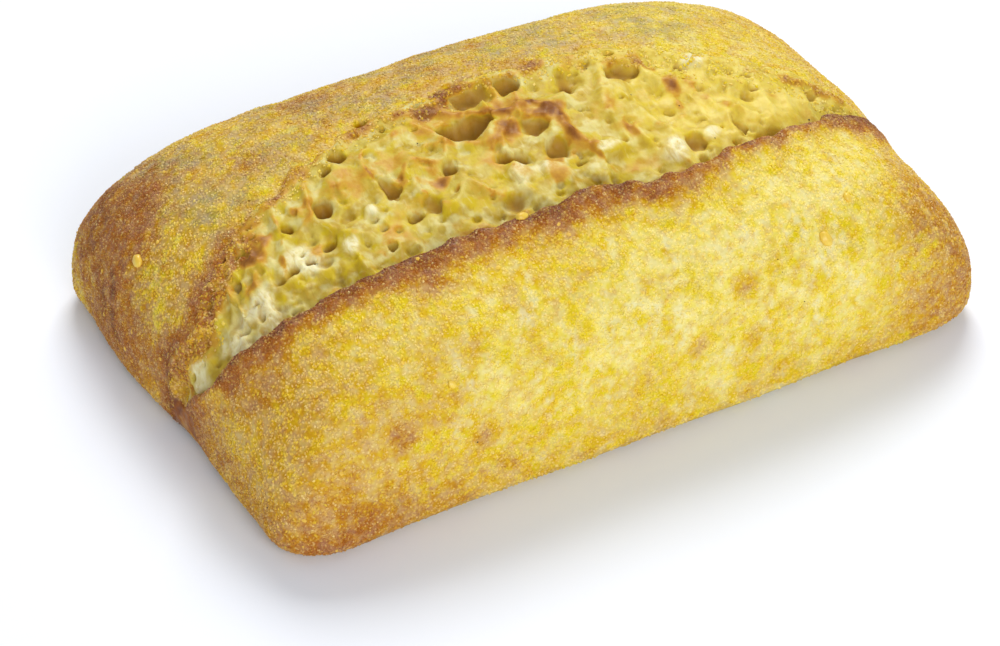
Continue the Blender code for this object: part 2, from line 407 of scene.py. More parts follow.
def browning(points, along, across, into_flap):
    """How far the crust has browned, from 0 for pale to 1 for dark, at places on the dough; some of it
    is painted shade and painted highlight.
    """
    fine, finer = lumps(points, 0.0042, 42), lumps(points, 0.0019, 44)
    # Darker over the front's left and over the back crust, and lighter over the back crust's right: partly
    # browning and partly painted shade where the light falls less.
    front = ramp(-0.2, -0.5, across)
    left = ramp(0.3, -0.9, along)
    shade = 0.14 + 0.185 * front * left + 0.2 * (1 - front) + 0.02 * (1 - front) * left
    shade -= 0.13 * (1 - front) * ramp(0.15, 0.6, along)
    shade += 0.08 * ramp(0.2, 0.4, across) * ramp(0.25, 0.0, np.abs(along + 0.3) - 0.3)
    # Darker towards the base, most along the front.
    low = ramp(0.017, 0.003, points[:, 2]) * (0.3 + 0.7 * front)
    shade += 0.14 * low + 0.16 * ramp(0.64, 0.92, along)
    shade += 0.07 * ramp(-0.86, -1.0, along)
    band = 0.0052 + 0.0014 * ramp(0.38, 0.12, np.abs(along - 0.05))
    band += 0.0032 * lumps(points, 0.01, 43)
    reached = np.maximum(into_flap, 0) / band + 0.22 * finer
    on_lip = np.exp(-(reached**2)) * ramp(-0.004, -0.001, into_flap)
    on_rim = np.exp(-((reached * 2.2) ** 2)) * ramp(-0.004, -0.001, into_flap)
    thins_out = (1 - 0.3 * ramp(0.78, 0.92, -along)) * (1 - 0.6 * ramp(0.965, 0.998, -along))
    shade += (0.45 * on_lip + 0.29 * on_rim) * thins_out * (0.15 + 0.85 * openness(along, 0.1))
    from_back = (across - crust_edges(along)[1]) * half_width(along)
    shade += 0.36 * ramp(0.007, 0.0005, np.abs(from_back)) * ramp(-0.6, -0.82, along)
    for *place, reach, amount in BROWNED:
        gap = gap_to(points, place) / reach
        shade += amount * ramp(1.3, 0.3, gap + 0.5 * fine + 0.5 * finer)
    shade += 0.12 * lumps(points, 0.013, 41) + 0.1 * fine + 0.08 * finer
    return np.clip(shade, 0, 1)


def floury(points, along, across):
    """How much flour dulls the crust: on the back crust in patches, and on nearly all of the base."""
    behind = ramp(-0.004, 0.01, (across - along_line(BACK_LINE, along)) * half_width(along))
    patches = 0.55 + 1.1 * lumps(points, 0.0095, 51) + 0.8 * lumps(points, 0.0034, 52)
    ends = 1 - 0.6 * ramp(0.35, 0.8, along) - 0.9 * ramp(0.8, 0.92, np.abs(along))
    under = ramp(0.0032, 0.0004, points[:, 2]) * (0.75 + 0.4 * lumps(points, 0.012, 53))
    return np.clip(np.maximum(behind * patches * np.clip(ends, 0, 1), under), 0, 1)


def streaked(points):
    """Pale streaks that run down the front, where the flour was brushed and the dough stretched."""
    streaks = lumps(points * DRAWN, 0.0026, 54) + 0.6 * lumps(points, 0.005, 55)
    return ramp(0.15, 0.75, streaks)


bake = browning(crust_points, crust_along, crust_across, into_flap)
flour = floury(crust_points, crust_along, crust_across)
bare = ramp(0.12, 0.0, crust_sunk(crust_along, crust_across))
bare *= ramp(0.001, 0.0035, crust_points[:, 2])
bare *= ramp(0.0003, 0.0, under_pores(crust_along, crust_across) * (crust_across > -0.5))
on_front = ramp(0.0, -0.1, crust_across - along_line(LIP_LINE, crust_along))
drift = lumps(crust_points, 0.006, 61) + 0.8 * lumps(crust_points, 0.0022, 62)
drift += 0.5 * lumps(crust_points, 0.0012, 63)
drift = np.where(on_front > 0.5, drift, 1.8 * drift)
lemon = ramp(-0.3, 0.8, drift) * ramp(0.62, 0.36, bake)
golden = 0.35 + 0.65 * ramp(0.15, 0.45, bake) + 0.6 * ramp(0.5, 0.8, bake)
layers = {
    "bake": bake,
    "flour": flour,
    "streak": streaked(crust_points) * on_front * ramp(0.42, 0.22, bake),
    "lemon": lemon * (1 - 0.6 * on_front * ramp(-0.6, -0.85, crust_along)),
    "pale_meal": bare * (1 - 0.5 * ramp(0.3, 0.6, bake)),
    "yellow_meal": bare * ramp(0.66, 0.3, bake) * (0.3 + ramp(-0.3, 0.8, drift)),
    "golden_meal": bare * golden,
    "toasted_meal": bare * ramp(0.4, 0.75, bake),
    "coarse_grits": bare,
    "dark_specks": bare,
}
store(crust_mesh, layers)
crust_mesh.shade_smooth()


def hex_colour(code):
    """An sRGB hex colour as the linear one that the shaders use."""
    parts = [int(code[place : place + 2], 16) / 255 for place in (1, 3, 5)]
    linear = [part / 12.92 if part <= 0.04045 else ((part + 0.055) / 1.055) ** 2.4 for part in parts]
    return (*linear, 1)


def add(tree, kind, inputs=None, settings=None, stops=None):
    """Adds a node to a tree. An input gets a value, a hex colour or a link; stops are a ramp's colours."""
    node = tree.nodes.new(kind)
    for name, value in (settings or {}).items():
        setattr(node, name, value)
    for name, value in (inputs or {}).items():
        if isinstance(value, bpy.types.NodeSocket):
            tree.links.new(value, node.inputs[name])
        else:
            is_colour = isinstance(value, str) and value.startswith("#")
            node.inputs[name].default_value = hex_colour(value) if is_colour else value
    for number, (place, code) in enumerate(stops or ()):
        elements = node.color_ramp.elements
        element = elements[number] if number < 2 else elements.new(place)
        element.position = place
        element.color = hex_colour(code)
    return node


TIMES = {"operation": "MULTIPLY"}
TIMES_PLUS = {"operation": "MULTIPLY_ADD"}


def tinted(tree, colour, tints):
    """The colour with tints laid over it in turn. Each covers it where its pattern goes from low to high,
    from the least share to the most, times what the mesh stores under its name where it has one."""
    for tint, pattern, (low, high), (least, most), name in tints:
        share = add(tree, "ShaderNodeMapRange", {0: pattern, 1: low, 2: high, 3: least, 4: most}).outputs[0]
        if name:
            kept = add(tree, "ShaderNodeAttribute", None, {"attribute_name": name}).outputs["Fac"]
            share = add(tree, "ShaderNodeMath", {0: kept, 1: share}, TIMES).outputs[0]
        layers = {0: share, 6: colour, 7: tint}
        colour = add(tree, "ShaderNodeMix", layers, {"data_type": "RGBA"}).outputs[2]
    return colour


def new_material(name, settings):
    """A material with nodes, its tree and its shader, with these of the shader's inputs set."""
    material = bpy.data.materials.new(name)
    material.use_nodes = True
    shader = material.node_tree.nodes["Principled BSDF"]
    for socket, value in settings.items():
        shader.inputs[socket].default_value = value
    return material, material.node_tree, shader


# Baked maize crust: dull and granular, from pale yellow through gold to brown where the heat was greatest.
# Cells of 0.8 mm stand for the fine meal in the dough, darker at their edges as painted shade, with lemon
# patches 2 mm wide, and flour dulls it.
CRUST_STOPS = (
    (0.0, "#f4e488"), (0.16, "#ecd866"), (0.34, "#dfbc44"),
    (0.52, "#ca9634"), (0.72, "#ae6a24"), (1.0, "#7c3e0e"),
)


def crust_colour(tree):
    """The colour of the crust, and of the meal that baked onto it, with the height of its relief."""
    coords = add(tree, "ShaderNodeTexCoord").outputs["Object"]
    mottled = {"Vector": coords, "Scale": 330.0, "Detail": 5.0, "Roughness": 0.55}
    mottle = add(tree, "ShaderNodeTexNoise", mottled).outputs["Fac"]
    soft = add(tree, "ShaderNodeTexNoise", {"Vector": coords, "Scale": 520.0, "Detail": 1.5})
    soft = add(tree, "ShaderNodeSeparateColor", {"Color": soft.outputs["Color"]}).outputs
    cells = add(tree, "ShaderNodeTexVoronoi", {"Vector": coords, "Scale": 1250.0}).outputs["Distance"]
    baked = add(tree, "ShaderNodeAttribute", None, {"attribute_name": "bake"}).outputs["Fac"]
    shade = add(tree, "ShaderNodeMath", {0: mottle, 1: 0.44, 2: baked}, TIMES_PLUS).outputs[0]
    # Towards the edges of the cells, where the bump sinks the skin, the crust is darker: painted shade
    # between grains.
    shade = add(tree, "ShaderNodeMath", {0: cells, 1: 0.16, 2: shade}, TIMES_PLUS).outputs[0]
    shade = add(tree, "ShaderNodeMath", {0: shade, 1: 0.26}, {"operation": "SUBTRACT"}).outputs[0]
    heated = add(tree, "ShaderNodeValToRGB", {"Fac": shade}, stops=CRUST_STOPS).outputs[0]
    dust = tinted(tree, "#ac9e54", [("#b09a70", soft["Red"], (0.42, 0.58), (0.0, 1.0), None)])
    tints = (
        ("#d8a62c", soft["Red"], (0.52, 0.66), (0.0, 0.4), None),
        ("#dec828", soft["Green"], (0.44, 0.6), (0.0, 1.0), "lemon"),
        ("#f0ebb4", soft["Blue"], (0.4, 0.62), (0.0, 0.5), "streak"),
        (dust, mottle, (0.35, 0.6), (0.1, 0.85), "flour"),
    )
    rich = add(tree, "ShaderNodeMapRange", {0: soft["Blue"], 1: 0.36, 2: 0.64, 3: 1.1, 4: 0.87}).outputs[0]
    toned = {"Saturation": rich, "Color": tinted(tree, heated, tints)}
    colour = add(tree, "ShaderNodeHueSaturation", toned).outputs[0]
    return colour, add(tree, "ShaderNodeMath", {0: mottle, 1: 0.8, 2: cells}, TIMES_PLUS).outputs[0]


material, tree, shader = new_material("baked maize crust", {"Roughness": 0.5, "Specular IOR Level": 0.3})
skin_colour, relief = crust_colour(tree)
# The skin between the grains is made a little darker than the grains: painted shade in the crevices.
skin_colour = add(tree, "ShaderNodeHueSaturation", {"Value": 0.92, "Color": skin_colour}).outputs[0]
tree.links.new(skin_colour, shader.inputs["Base Color"])
grain = {"Height": relief, "Distance": 0.00025, "Strength": 0.6}
bump = add(tree, "ShaderNodeBump", grain, {"invert": True})
tree.links.new(bump.outputs["Normal"], shader.inputs["Normal"])
crust_mesh.materials.append(material)

crust = new_piece("baked_crust", crust_mesh)
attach(crust, "root")
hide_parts("ciabatta_roll")

# ---------- the torn crumb
# The soft inside, torn open and set by the heat: pores and the thin walls between them, climbing from the
# valley behind the lip to the back crust. It is carved out of a block that follows the dough's surface.
CRUMB_CELL = 0.00042
CRUMB_DEEP = 0.009  # how far the block goes below the dough's surface, and above it
CRUMB_HIGH = 0.0026
CRUMB_WIDE = 0.043
CRUMB_TUCK = 0.005  # how far it goes under the edge of the back crust

# Torn walls that still stand, as (along, across) places that their edges pass through: each with how high
# it stands and how far the heat toasted it.
RIDGES = (
    (0.0011, 0.85, ((-0.14, 0.44), (-0.08, 0.38), (-0.03, 0.24), (-0.03, 0.16))),
    (0.0014, 0.75, ((-0.3, 0.31), (-0.2, 0.26), (-0.1, 0.17), (-0.04, 0.1))),
    (0.0015, 0.95, ((-0.04, 0.1), (0.05, 0.11), (0.09, 0.02), (0.08, -0.16), (0.11, -0.22))),
    (0.0013, 0.65, ((-0.25, 0.08), (-0.15, 0.0), (-0.09, -0.05), (-0.06, 0.01), (0.0, 0.06))),
    (0.0007, 0.25, ((0.25, 0.14), (0.21, -0.01), (0.2, -0.2), (0.21, -0.36))),
    (0.001, 0.6, ((0.29, 0.22), (0.36, 0.22), (0.39, 0.12))),
    (0.0012, 0.9, ((0.41, 0.02), (0.39, -0.1), (0.36, -0.25))),
    (0.0009, 0.55, ((0.45, 0.0), (0.47, -0.16), (0.5, -0.2))),
    (0.001, 0.5, ((-0.55, 0.19), (-0.58, 0.08), (-0.6, -0.03), (-0.66, -0.08))),
    (0.0009, 0.4, ((-0.61, -0.05), (-0.57, -0.17), (-0.52, -0.27))),
    (0.001, 0.5, ((-0.46, 0.27), (-0.56, 0.2), (-0.66, 0.15), (-0.74, 0.06))),
    (0.0008, 0.75, ((-0.86, 0.12), (-0.8, 0.09), (-0.72, -0.02), (-0.76, -0.09))),
    (0.001, 0.55, ((-0.84, 0.05), (-0.88, -0.06), (-0.92, -0.17))),
    (0.001, 0.4, ((-0.83, -0.04), (-0.87, -0.14), (-0.92, -0.25))),
    (0.0009, 0.3, ((-0.8, -0.08), (-0.85, -0.18), (-0.9, -0.32))),
    (0.0012, 0.8, ((0.77, 0.05), (0.84, 0.06), (0.88, -0.04), (0.9, -0.12))),
    (0.001, 0.6, ((0.72, -0.06), (0.79, -0.1), (0.84, -0.16))),
)
# Patches between the ridges that toasted too: along, across, reach in metres, and how much.
SCORCHED = (
    (-0.13, 0.31, 0.0036, 1.0), (-0.19, 0.25, 0.003, 0.9), (-0.06, -0.02, 0.003, 1.0),
    (0.07, 0.01, 0.003, 1.0), (-0.29, -0.11, 0.0027, 1.0), (-0.46, -0.36, 0.0024, 1.0),
    (0.00, -0.39, 0.0028, 1.0), (0.12, 0.33, 0.003, 0.9), (-0.94, -0.02, 0.003, 0.5),
    (-0.78, -0.04, 0.0028, 0.9), (-0.82, 0.07, 0.0034, 0.9), (0.62, 0.17, 0.002, 0.7),
    (0.85, 0.08, 0.003, 0.8), (0.88, -0.12, 0.0024, 0.9), (0.22, 0.3, 0.0035, 0.4),
    (0.01, 0.13, 0.004, 0.7), (-0.22, 0.2, 0.004, 0.5), (-0.36, 0.05, 0.004, 0.45),
    (-0.47, 0.04, 0.0036, 0.5), (-0.52, 0.02, 0.0035, 0.4), (-0.2, -0.25, 0.0035, 0.4),
)

# Lumps of crumb that stayed moist and pale: along, across and reach in metres.
MOIST = (
    (-0.83, -0.28, 0.005), (-0.92, -0.31, 0.0044), (-0.98, -0.2, 0.0042), (-0.7, -0.22, 0.0042),
    (-0.58, -0.26, 0.0022), (-0.48, -0.14, 0.0018), (-0.09, -0.25, 0.0028), (-0.01, -0.29, 0.0028),
    (0.07, -0.33, 0.0026), (0.15, -0.25, 0.0024), (0.29, -0.37, 0.003), (0.4, -0.36, 0.0026),
    (0.5, 0.1, 0.002),
)


def gap_to_line(points, line):
    """How far each point is from a line through (along, across) places on the dough, in metres."""
    nearest = np.full(points.shape[:-1], np.inf)
    corners = [dough_point(*place) for place in line]
    for start, end in zip(corners, corners[1:]):
        span = end - start
        share = np.clip((points - start) @ span / (span @ span), 0, 1)
        off = points - start - share[..., None] * span
        nearest = np.minimum(nearest, np.linalg.norm(off, axis=-1))
    return nearest


def crumb_stations():
    """Places along the roll, equally far apart over the ridge of the split."""
    fine = mirrored(FINE_SHARES)
    middle = dough_point(fine, 0.5 * (along_line(LIP_LINE, fine) + along_line(BACK_LINE, fine)))
    steps = np.linalg.norm(np.diff(middle, axis=0), axis=1)
    return evened(fine, steps, int(steps.sum() / CRUMB_CELL))


def moist(points):
    """How pale and moist the torn face is here."""
    share = np.zeros(points.shape[:-1])
    for *place, reach in MOIST:
        gap = gap_to(points, dough_point(*place)) / reach
        share = np.maximum(share, ramp(1.3, 0.4, gap + 0.8 * lumps(points, 0.0034, 73)))
    return share


def crumb_level(along, across, points):
    """How far the crumb's outer face stands above the whole dough before its pores are cut."""
    lip, back = along_line(LIP_LINE, along), crust_edges(along)[1]
    fade, opened = fade_to_ends(along), openness(along, 0.15)
    share = climb(along, across, lip, back)
    level = -fade * VALLEY_DEPTH * (1 - share) ** SLOPE_POWER - 0.001 * (1 - opened)
    level -= 0.0032 * opened * ramp(-0.8, -0.94, along) * share * (1 - share)
    at_left = ramp(-0.7, -0.8, along)
    cells = np.minimum(1, 3.2 * np.abs(lumps(points * PULLED, 0.0075, 31)))
    fine_cells = np.minimum(1, 3.0 * np.abs(lumps(points * PULLED, 0.0034, 32)))
    threads = np.minimum(1, 3.0 * np.abs(lumps(points * DRAWN, 0.0024, 35)))
    rough = 0.0013 * lumps(points, 0.012, 36) + 0.0005
    rough -= (0.0012 * cells + 0.00025 * fine_cells) * (1 - 0.7 * at_left) + 0.0011 * threads * at_left
    rough += 0.00014 * lumps(points * PULLED, 0.0017, 33) + 0.00008 * lumps(points, 0.001, 34)
    pale = moist(points)
    rough = rough * (1 - 0.6 * pale) + 0.0006 * pale
    for height, toast, line in RIDGES:
        stands = 0.75 + 0.6 * lumps(points, 0.003, 37)
        rough += 0.8 * height * stands * np.exp(-((gap_to_line(points, line) / 0.0008) ** 2))
    to_back = (across - back) * half_width(along)
    rough = np.where(rough < 0, rough * ramp(0.0006, -0.0045, to_back), rough)
    past = np.maximum(0, to_back)
    rough = rough * opened * (0.35 + 0.65 * fade) * ramp(0.002, 0.0, past)
    return level + rough + 0.0002 - 0.3 * past


def ripple(places):
    """Small unevenness of a pore's wall, in metres."""
    x, y, z = np.moveaxis(places / CRUMB_CELL, -1, 0)
    fine = np.sin(x + 1.3 * np.sin(0.6 * y)) + np.sin(0.9 * y - 0.5 * z) * np.sin(0.8 * z + 0.4 * x)
    wave = np.sin(0.34 * x + 0.5 * np.sin(0.3 * z))
    return 0.00015 * fine + 0.00032 * wave * np.sin(0.41 * y + 0.2 * z + 1.1)


def carve(values, places, centre, axes, radii, blend):
    """Cuts a rounded hole out of the block, by changing its values near the hole."""
    gap = (1 - np.linalg.norm((places - centre) @ axes / radii, axis=-1)) * radii.min() + ripple(places)
    mix = np.maximum(blend - np.abs(values - gap), 0) / blend
    return np.maximum(values, gap) + mix * mix * blend / 4


stations = crumb_stations()
lip_edge = along_line(LIP_LINE, stations) + 0.2 * LIP_WIDTH
back_edge = along_line(BACK_LINE, stations) + CRUMB_TUCK / half_width(stations)
column_count = int(CRUMB_WIDE / CRUMB_CELL)
level_count = int((CRUMB_DEEP + CRUMB_HIGH) / CRUMB_CELL)
column_shares = np.linspace(0, 1, column_count)
block_along = np.repeat(stations[:, None], column_count, axis=1)
block_across = lip_edge[:, None] + (back_edge - lip_edge)[:, None] * column_shares[None, :]
block_skin = dough_point(block_along, block_across)
block_out = dough_normal(block_along, block_across)
block_skin = block_skin + block_out * uneven(block_skin)[..., None]
block_side = np.gradient(block_skin, axis=0)
block_side /= np.linalg.norm(block_side, axis=-1, keepdims=True)
heights = np.linspace(-CRUMB_DEEP, CRUMB_HIGH, level_count)
places = block_skin[:, :, None, :] + block_out[:, :, None, :] * heights[None, None, :, None]
level = crumb_level(block_along, block_across, block_skin)
values = heights[None, None, :] - level[:, :, None]
shares = np.broadcast_arrays(block_along[..., None], block_across[..., None], heights - level[..., None])
facts = np.concatenate([places, np.stack(shares, axis=-1)], axis=-1)

random = np.random.default_rng(11)
column_steps = np.linalg.norm(np.diff(block_skin, axis=1), axis=-1).mean(axis=1)


def carve_at(station, column, depth, radii, blend=0.0003):
    """Carves one pore: station and column are its place in the block, and depth is below the face."""
    out, side = block_out[station, column], block_side[station, column]
    axes = np.stack([side, np.cross(out, side), out], axis=1)
    height = level[station, column] - depth
    centre = block_skin[station, column] + out * height
    reach = radii.max() + 2 * blend
    cells = int(reach / CRUMB_CELL) + 2
    columns = int(reach / max(column_steps[station], 0.00004)) + 2
    middle = int((height + CRUMB_DEEP) / (CRUMB_DEEP + CRUMB_HIGH) * (level_count - 1))
    spans = ((station, cells), (column, columns), (middle, cells + 1))
    box = tuple(slice(max(0, at - span), max(1, at + span)) for at, span in spans)
    values[box] = carve(values[box], places[box], centre, axes, radii, blend)


for along, across, radius_along, radius_across, depth in PORES:
    station = int(np.argmin(np.abs(stations - along)))
    column = int(np.argmin(np.abs(block_across[station] - across)))
    carve_at(station, column, 0.18 * depth, np.array([radius_along, radius_across, 0.9 * depth]), 0.0007)
for smallest, largest, count in ((0.0008, 0.0015, 26), (0.0005, 0.0009, 110), (0.00034, 0.0005, 800)):
    for pore in range(count):
        station = int(random.integers(6, len(stations) - 6))
        if random.random() > (back_edge - lip_edge)[station] / 0.9:
            continue
        column = int(random.integers(3, int(column_count * 0.86)))
        radius = smallest + (largest - smallest) * random.random() ** 1.6
        radii = radius * random.uniform(0.7, 1.4, 3)
        carve_at(station, column, radius * random.uniform(-0.5, 0.2), radii)


def skin(values, facts):
    """The skin where the values pass zero: a vertex in each cell that it crosses, joined across edges."""
    cells = np.array(values.shape) - 1
    total = np.zeros((cells.prod(), facts.shape[-1]))
    count = np.zeros(cells.prod())
    quads = []
    for axis in range(3):
        side, other = [direction for direction in range(3) if direction != axis]
        lower = tuple(slice(0, -1) if direction == axis else slice(None) for direction in range(3))
        upper = tuple(slice(1, None) if direction == axis else slice(None) for direction in range(3))
        start, end = values[lower], values[upper]
        found = np.argwhere((start < 0) != (end < 0))
        at = tuple(found.T)
        share = (start[at] / (start[at] - end[at]))[:, None]
        crossing = facts[lower][at] * (1 - share) + facts[upper][at] * share
        around = []
        for step, other_step in ((0, 0), (-1, 0), (-1, -1), (0, -1)):
            cell = found.copy()
            cell[:, side] += step
            cell[:, other] += other_step
            inside = ((cell >= 0) & (cell < cells)).all(axis=1)
            number = np.where(inside, (cell[:, 0] * cells[1] + cell[:, 1]) * cells[2] + cell[:, 2], -1)
            around.append(number)
            for part in range(facts.shape[-1]):
                total[:, part] += np.bincount(number[inside], crossing[inside, part], cells.prod())
            count += np.bincount(number[inside], minlength=cells.prod())
        around = np.stack(around, axis=1)
        outward = (start[at] < 0) == (axis != 1)
        around[~outward] = around[~outward][:, ::-1]
        quads.append(around[(around >= 0).all(axis=1)])
    quads = np.concatenate(quads)
    used, quads = np.unique(quads, return_inverse=True)
    return total[used] / count[used][:, None], quads.reshape(-1, 4)


crumb_facts, crumb_quads = skin(values, facts)
crumb_points, crumb_along, crumb_across = crumb_facts[:, :3], crumb_facts[:, 3], crumb_facts[:, 4]
crumb_depth = -crumb_facts[:, 5]
crumb_mesh = bpy.data.meshes.new("torn_crumb")
crumb_mesh.from_pydata((crumb_points + CENTRE).tolist(), [], crumb_quads.tolist())
crumb_mesh.update()
crumb_mesh.shade_smooth()


def crusted(points, along, to_back):
    """How far the left end of the torn face dried to a crust of its own, next to the back crust."""
    nearness = to_back + 0.002 * lumps(points, 0.004, 77)
    return ramp(-0.72, -0.82, along) * ramp(-0.005, -0.0026, nearness)


def toasting(points, along, to_back, depth):
    """How far the torn face has toasted: most on the walls that stand proud, and along the back crust."""
    fine = lumps(points, 0.0036, 71)
    broken = lumps(points, 0.0022, 75)
    shade = 0.12 + (0.5 - 0.2 * ramp(0.1, 0.4, along)) * fine
    cells = 3.2 * np.abs(lumps(points * PULLED, 0.0075, 31))
    crests = ramp(0.45, 0.05, cells) * ramp(0.45, 0.15, along)
    shade = np.maximum(shade, (0.34 + 0.5 * fine + 0.4 * broken) * crests)
    for height, toast, line in RIDGES:
        near = np.exp(-((gap_to_line(points, line) / 0.0017) ** 2))
        shade = np.maximum(shade, toast * near * (0.9 + 0.5 * broken) + 0.22 * fine)
    for *place, reach, amount in SCORCHED:
        gap = gap_to(points, dough_point(*place)) / reach
        shade = np.maximum(shade, amount * ramp(1.4, 0.3, gap + 0.7 * fine))
    along_edge = ramp(-0.35, 0.35, lumps(points, 0.01, 74) - 0.5 * along - 0.15)
    shade = np.maximum(shade, (0.5 + 0.5 * fine) * along_edge * ramp(-0.004, -0.001, to_back))
    left_end = ramp(-0.72, -0.84, along) * ramp(-0.0065, -0.001, to_back)
    strands = lumps(points * DRAWN, 0.0017, 76)
    shade = np.maximum(shade, (0.4 + 0.4 * fine + 0.5 * strands) * left_end)
    shade = np.maximum(shade, (0.68 + 0.3 * fine + 0.3 * strands) * crusted(points, along, to_back))
    return np.clip((shade + 0.1 * lumps(points, 0.0014, 72)) * ramp(0.0024, 0.0002, depth), 0, 1)


to_back = (crumb_across - along_line(BACK_LINE, crumb_along)) * half_width(crumb_along)
toast = toasting(crumb_points, crumb_along, to_back, crumb_depth)
proud = ramp(0.0016, 0.0003, crumb_depth)
# Meal fell onto the torn face too, mostly towards the back crust and at its right.
dusted = proud * ramp(-0.006, -0.0005, to_back + 0.004 * ramp(0.2, 0.6, crumb_along))
dusted *= 0.2 + 0.8 * ramp(-0.85, -0.6, crumb_along)
dusted = np.maximum(dusted, 2.0 * proud * crusted(crumb_points, crumb_along, to_back))
layers = {
    "toast": toast,
    # painted shade: darker and more olive the deeper the crumb lies in a pore
    "painted_pore_shade": ramp(0.0002, 0.0026, crumb_depth),
    "cream": moist(crumb_points),
    "lemon": ramp(0.05, 0.45, crumb_along) * ramp(0.7, 0.3, toast),
    "bake": 0.15 + 0.7 * toast,
    "pale_meal": 0.4 * dusted,
    "yellow_meal": 0.4 * dusted,
    "golden_meal": 0.5 * dusted * ramp(0.3, 0.55, toast),
    "toasted_meal": 0.4 * dusted * ramp(0.5, 0.85, toast),
    "coarse_grits": 0 * toast,
    "dark_specks": proud,
}
store(crumb_mesh, layers)

# Torn maize crumb: soft and slightly shiny where a pore's wall was stretched, pale cream where it stayed
# inside, yellower where it dried and orange to brown where it toasted. Painted shade makes it olive in the
# depth of a pore and darker in the grooves of its fibres; painted highlights make the fibres' crests paler.
soft_and_moist = {
    "Roughness": 0.5,
    "Specular IOR Level": 0.25,
    "Subsurface Weight": 0.5,
    "Subsurface Radius": (1.0, 0.85, 0.4),
    "Subsurface Scale": 0.002,
}
material, tree, shader = new_material("torn maize crumb", soft_and_moist)
coords = add(tree, "ShaderNodeTexCoord").outputs["Object"]
stretch = add(tree, "ShaderNodeMapping", {"Vector": coords, "Scale": (1.0, 0.42, 0.5)}).outputs[0]
broken = {"Vector": coords, "Scale": 800.0, "Detail": 4.0, "Roughness": 0.6}
mottle = add(tree, "ShaderNodeTexNoise", broken).outputs["Fac"]
patches = add(tree, "ShaderNodeTexNoise", {"Vector": coords, "Scale": 300.0, "Detail": 2.0})
patches = add(tree, "ShaderNodeSeparateColor", {"Color": patches.outputs["Color"]}).outputs
drawn = {"Vector": stretch, "Scale": 720.0, "Detail": 4.0, "Roughness": 0.6, "Distortion": 1.0}
fibre = add(tree, "ShaderNodeTexNoise", drawn).outputs["Fac"]
TINTS = (
    ("#ccb64e", patches["Red"], (0.42, 0.58), (0.0, 1.0), None),
    ("#dcd28c", patches["Green"], (0.5, 0.62), (0.0, 0.75), None),
    ("#ceb414", patches["Blue"], (0.5, 0.62), (0.0, 0.9), None),
    # These two follow the fibres' bump: darker in the grooves, a painted shade, and paler on the crests, a
    # painted highlight. The cream is paler on the crests too, partly a painted highlight.
    ("#b48c22", fibre, (0.46, 0.34), (0.0, 0.35), None),
    ("#e8e098", fibre, (0.56, 0.7), (0.0, 0.35), None),
    ("#eed45a", patches["Green"], (0.36, 0.56), (0.25, 0.6), "lemon"),
    ("#efe8be", fibre, (0.34, 0.6), (0.25, 0.95), "cream"),
    # painted shade in the depth of a pore
    ("#b68c32", 1.0, (0.0, 1.0), (0.0, 1.0), "painted_pore_shade"),
)
moist_colour = tinted(tree, "#bd9e28", TINTS)
toasted = add(tree, "ShaderNodeAttribute", None, {"attribute_name": "toast"}).outputs["Fac"]
heat = add(tree, "ShaderNodeMath", {0: mottle, 1: 0.5, 2: toasted}, TIMES_PLUS).outputs[0]
heat = add(tree, "ShaderNodeMapRange", {0: heat, 1: 0.44, 2: 1.24}).outputs[0]
TOAST_STOPS = ((0.0, "#dab83c"), (0.35, "#cc9c2e"), (0.65, "#b47c26"), (1.0, "#865018"))
toast_colour = add(tree, "ShaderNodeValToRGB", {"Fac": heat}, stops=TOAST_STOPS).outputs[0]
colour = tinted(tree, moist_colour, [(toast_colour, heat, (0.0, 0.35), (0.0, 1.0), None)])
tree.links.new(colour, shader.inputs["Base Color"])
relief = add(tree, "ShaderNodeMath", {0: fibre, 1: 0.7, 2: mottle}, TIMES_PLUS).outputs[0]
bump = add(tree, "ShaderNodeBump", {"Height": relief, "Distance": 0.00025, "Strength": 0.5})
tree.links.new(bump.outputs["Normal"], shader.inputs["Normal"])
crumb_mesh.materials.append(material)

crumb = new_piece("torn_crumb", crumb_mesh)
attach(crumb, "root")
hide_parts("ciabatta_roll")

# ---------- the cornmeal
# Ground maize that the dough was rolled in, baked onto the crust. It is graded by how it looks: each grade
# is one piece of angular grains, seated on the skin and thicker where the surface's weight is higher.


